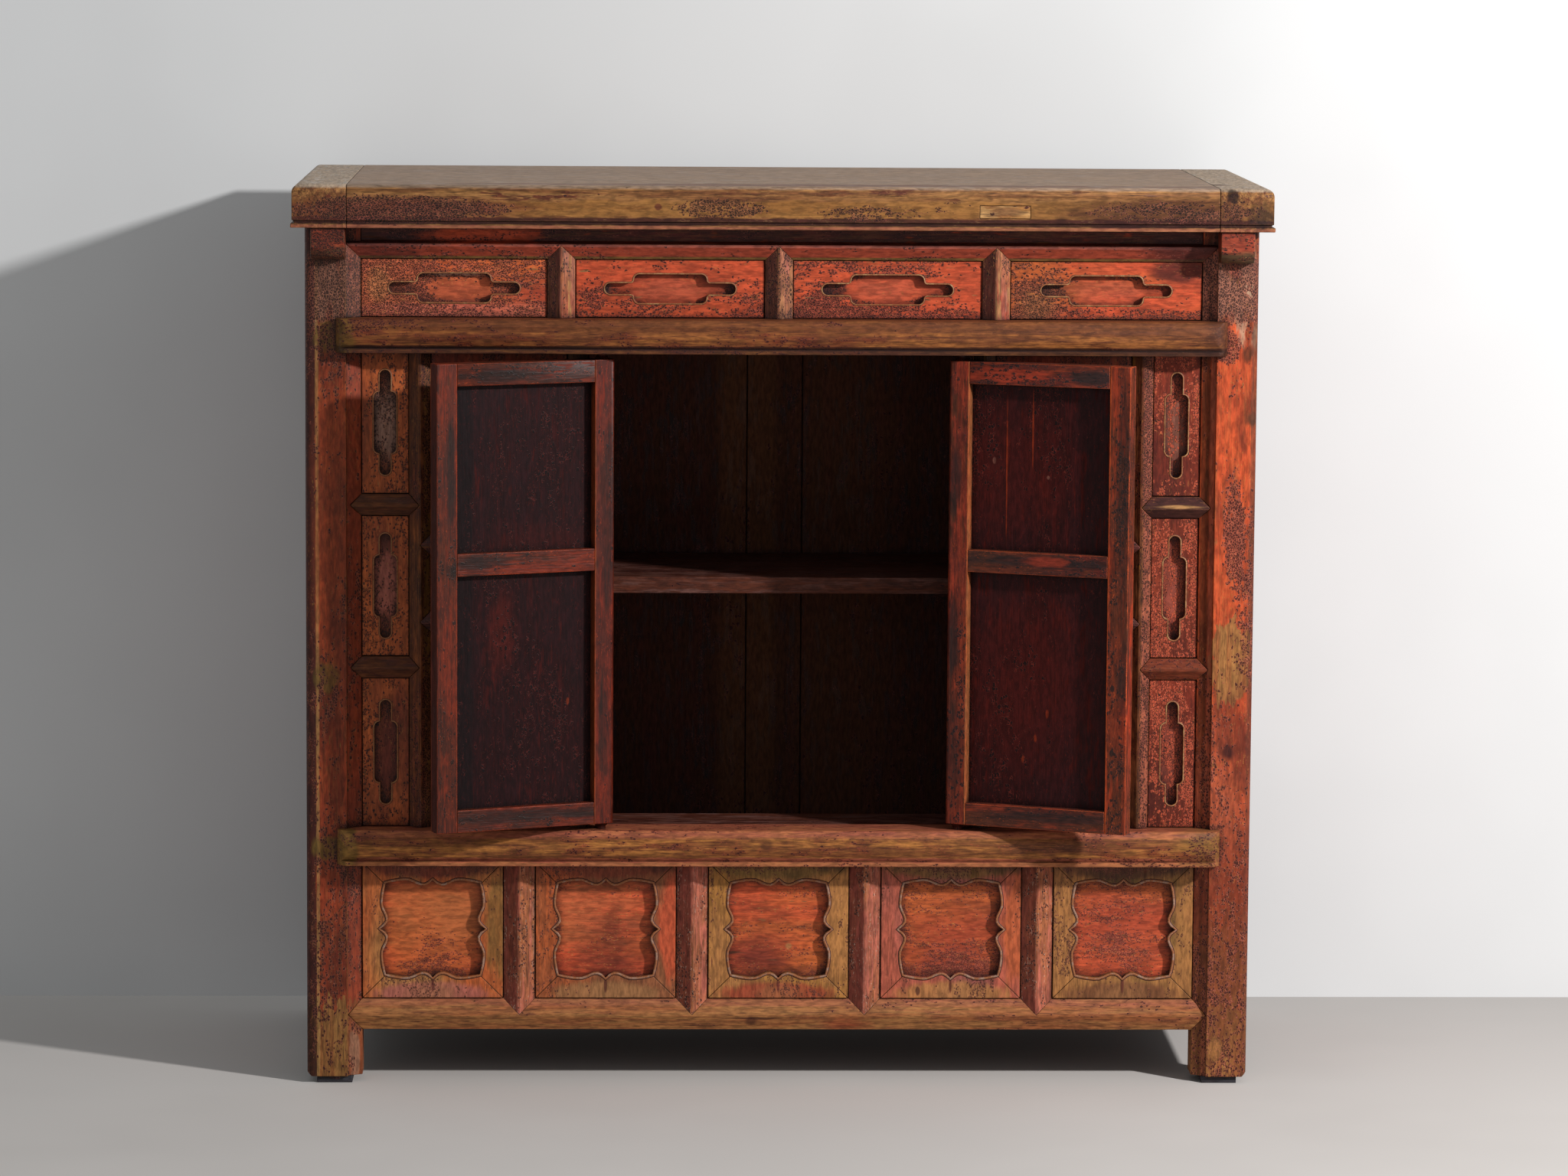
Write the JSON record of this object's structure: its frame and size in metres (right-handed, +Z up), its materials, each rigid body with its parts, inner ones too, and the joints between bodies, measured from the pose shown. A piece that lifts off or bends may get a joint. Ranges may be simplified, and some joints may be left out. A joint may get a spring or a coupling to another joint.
{
  "type": "painted sideboard",
  "caption": "Low painted wooden sideboard with a ridged, mitred frame, carved and scalloped panels, and doors on wooden pivots folded back from a shelved cupboard.",
  "frame": {"origin": "on the floor, under the middle of the piece's box with its doors folded back", "axes": "+X to the right across the front, +Y from the front to the back, +Z up"},
  "size_m": [1.096, 0.5252, 1.02],
  "materials": {
    "top_wood": "worn waxed wood over old dark lacquer",
    "patch_wood": "pale inlaid wood, waxed",
    "red_lacquer": "worn crackled vermilion lacquer over wood",
    "maroon_lacquer": "dark crackled lacquer, worn on the ridges",
    "ochre_lacquer": "thin ochre lacquer worn to golden wood",
    "field_lacquer": "crackled orange-red lacquer",
    "plum_wood": "dark plum lacquer, streaked and scratched",
    "inside_wood": "bare aged wood",
    "pad": "soft matt pad"
  },
  "bodies": {
    "case": {"top_board": "top_wood", "top_cleat_left": "top_wood", "top_cleat_right": "top_wood", "top_patch": "patch_wood", "leg_front_left": "red_lacquer", "leg_front_right": "red_lacquer", "leg_back_left": "maroon_lacquer", "leg_back_right": "maroon_lacquer", "foot_pads": "pad", "cap_block_left": "maroon_lacquer", "cap_block_right": "maroon_lacquer", "top_rail": "maroon_lacquer", "waist_rail": "ochre_lacquer", "sill_rail": "ochre_lacquer", "bottom_rail": "ochre_lacquer", "upper_panel_1": "red_lacquer", "upper_panel_2": "red_lacquer", "upper_panel_3": "red_lacquer", "upper_panel_4": "red_lacquer", "upper_muntins": "maroon_lacquer", "column_stile_left": "ochre_lacquer", "column_stile_right": "ochre_lacquer", "jamb_left": "ochre_lacquer", "jamb_right": "ochre_lacquer", "column_panels_left": "red_lacquer", "column_panels_right": "red_lacquer", "column_rails_left": "maroon_lacquer", "column_rails_right": "maroon_lacquer", "bay_panels_left": "red_lacquer", "bay_panels_right": "red_lacquer", "bay_rails_left": "maroon_lacquer", "bay_rails_right": "maroon_lacquer", "lower_border_1": "ochre_lacquer", "lower_border_2": "ochre_lacquer", "lower_border_3": "ochre_lacquer", "lower_border_4": "ochre_lacquer", "lower_border_5": "ochre_lacquer", "lower_fields": "field_lacquer", "lower_muntins": "maroon_lacquer", "side_rails_left": "maroon_lacquer", "side_rails_right": "maroon_lacquer", "side_panels_left": "red_lacquer", "side_panels_right": "red_lacquer", "back_rails": "plum_wood", "back_boards": "plum_wood", "shelf": "inside_wood", "shelf_bearers": "inside_wood", "ledge": "inside_wood", "ledge_bearers": "inside_wood", "bottom_boards": "inside_wood", "bottom_battens": "inside_wood"},
    "door_left": {"door_left_hinge_stile": "maroon_lacquer", "door_left_free_stile": "maroon_lacquer", "door_left_rails": "maroon_lacquer", "door_left_panels": "plum_wood"},
    "door_right": {"door_right_hinge_stile": "maroon_lacquer", "door_right_free_stile": "maroon_lacquer", "door_right_rails": "maroon_lacquer", "door_right_panels": "plum_wood"}
  },
  "joints": [
    {"name": "door_left_pivot", "type": "hinge", "parent": "case", "child": "door_left", "pos_m": [-0.202, -0.17642, 0.5625], "axis": [0, 0, -1], "range_deg": [-157.5, 3]},
    {"name": "door_right_pivot", "type": "hinge", "parent": "case", "child": "door_right", "pos_m": [0.202, -0.17642, 0.5625], "axis": [0, 0, 1], "range_deg": [-157.5, 3]}
  ]
}
